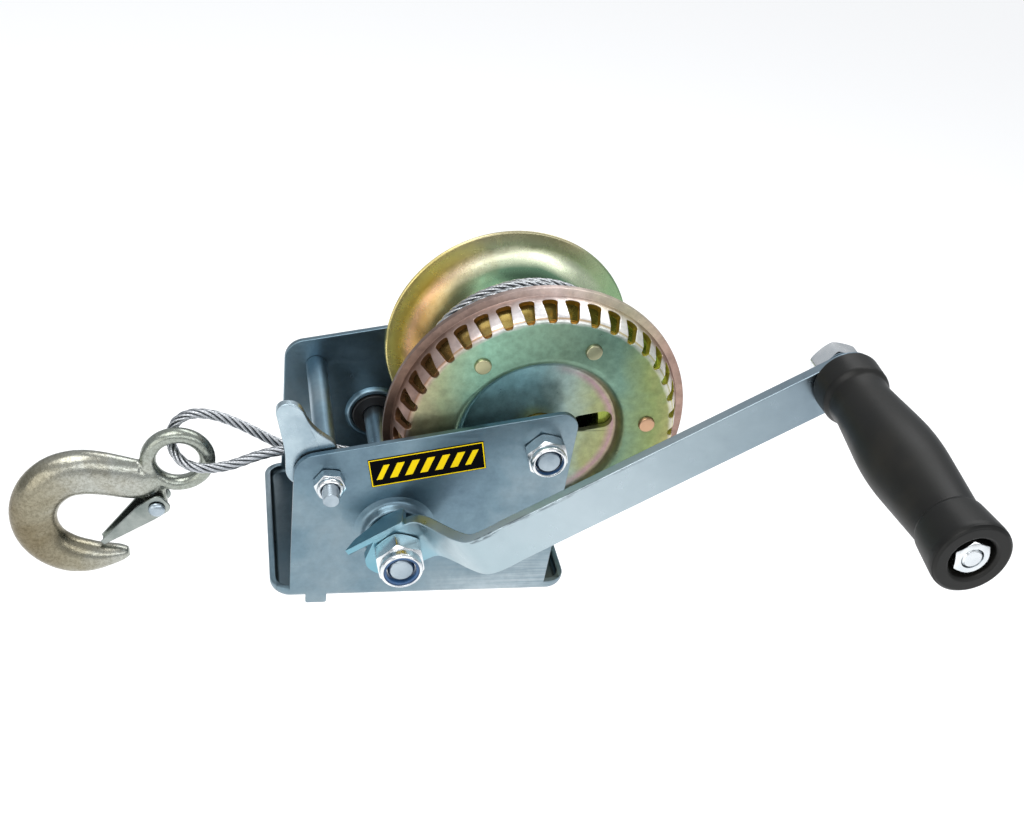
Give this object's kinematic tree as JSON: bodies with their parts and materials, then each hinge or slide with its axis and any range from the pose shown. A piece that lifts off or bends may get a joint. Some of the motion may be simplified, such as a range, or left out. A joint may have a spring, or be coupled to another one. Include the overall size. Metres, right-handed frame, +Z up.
{
  "type": "boat trailer hand winch",
  "caption": "Hand winch for a boat trailer: bent sheet frame, toothed drum with wire rope, pinion and crank arm with a turning grip, pawl, and a snap hook on the rope's looped end.",
  "frame": {"origin": "centre of the underside of the frame's base, on the mounting face", "axes": "+X away from the side the rope leaves, +Y away from the crank, +Z up off the mounting face"},
  "size_m": [0.3753, 0.2754, 0.1872],
  "materials": {
    "zinc_sheet": "satin bluish zinc plate",
    "bright_zinc": "bright zinc plate",
    "yellow_zinc": "iridescent yellow chromate over zinc",
    "forged_zinc": "pale gold zinc over a rough forging",
    "wire_rope": "galvanised wire strands",
    "pressed_sleeve": "dull pressed sleeve",
    "black_plastic": "fine-grained moulded plastic",
    "blue_nylon": "nylon locking ring",
    "sticker": "printed film"
  },
  "bodies": {
    "frame": {"frame_stamping": "zinc_sheet", "label": "sticker", "drum_axle_bolt": "bright_zinc", "drum_axle_nut": "bright_zinc", "drum_axle_nut_ring": "blue_nylon", "near_axle_spacer": "zinc_sheet", "far_axle_spacer": "zinc_sheet", "tie_bolt": "bright_zinc", "tie_nut": "bright_zinc", "tie_nut_ring": "blue_nylon", "tie_spacer_tube": "zinc_sheet", "pawl_spring": "bright_zinc", "near_shaft_bush": "zinc_sheet", "far_shaft_bush": "black_plastic", "cable_run": "wire_rope", "cable_sleeve": "pressed_sleeve", "cable_loop": "wire_rope"},
    "drum": {"gear_disc": "yellow_zinc", "drum_spool": "yellow_zinc", "hub_tube": "yellow_zinc", "hub_end_plate": "yellow_zinc", "gear_rivet_1": "yellow_zinc", "gear_rivet_2": "yellow_zinc", "gear_rivet_3": "yellow_zinc", "gear_rivet_4": "yellow_zinc", "gear_rivet_5": "yellow_zinc", "gear_rivet_6": "yellow_zinc", "rope_winding": "wire_rope"},
    "drive": {"drive_shaft": "bright_zinc", "pinion": "zinc_sheet", "shaft_clip": "bright_zinc", "crank_arm": "zinc_sheet", "crank_nut": "bright_zinc", "crank_nut_ring": "blue_nylon", "grip_bolt": "bright_zinc", "grip_nut": "bright_zinc"},
    "grip": {"grip": "black_plastic"},
    "pawl": {"pawl": "zinc_sheet"},
    "hook": {"hook": "forged_zinc", "latch_pin": "bright_zinc", "latch_spring": "bright_zinc"},
    "latch": {"hook_latch": "zinc_sheet"}
  },
  "joints": [
    {"name": "drum_spin", "type": "hinge", "parent": "frame", "child": "drum", "pos_m": [0.051, 0, 0.0874], "axis": [0, 1, 0], "continuous": true},
    {"name": "crank_spin", "type": "hinge", "parent": "frame", "child": "drive", "pos_m": [-0.016, 0, 0.0419], "axis": [0, 1, 0], "continuous": true},
    {"name": "grip_spin", "type": "hinge", "parent": "drive", "child": "grip", "pos_m": [0.16384, -0.15675, 0.15603], "axis": [0, 1, 0], "continuous": true},
    {"name": "pawl_swing", "type": "hinge", "parent": "frame", "child": "pawl", "pos_m": [-0.0479, -0.0455, 0.0713], "axis": [0, 1, 0], "range_deg": [-20, 12]},
    {"name": "hook_swing", "type": "hinge", "parent": "frame", "child": "hook", "pos_m": [-0.1182, -0.0075, 0.0574], "axis": [0, 1, 0], "range_deg": [-25, 25]},
    {"name": "latch_swing", "type": "hinge", "parent": "hook", "child": "latch", "pos_m": [-0.1264, -0.0075, 0.0266], "axis": [0, 1, 0], "range_deg": [0, 35], "stiffness_Nm_per_rad": 0.1, "springref_deg": -28.65}
  ],
  "couplings": [
    {"joint": "crank_spin", "follows": "drum_spin", "ratio": -4}
  ]
}
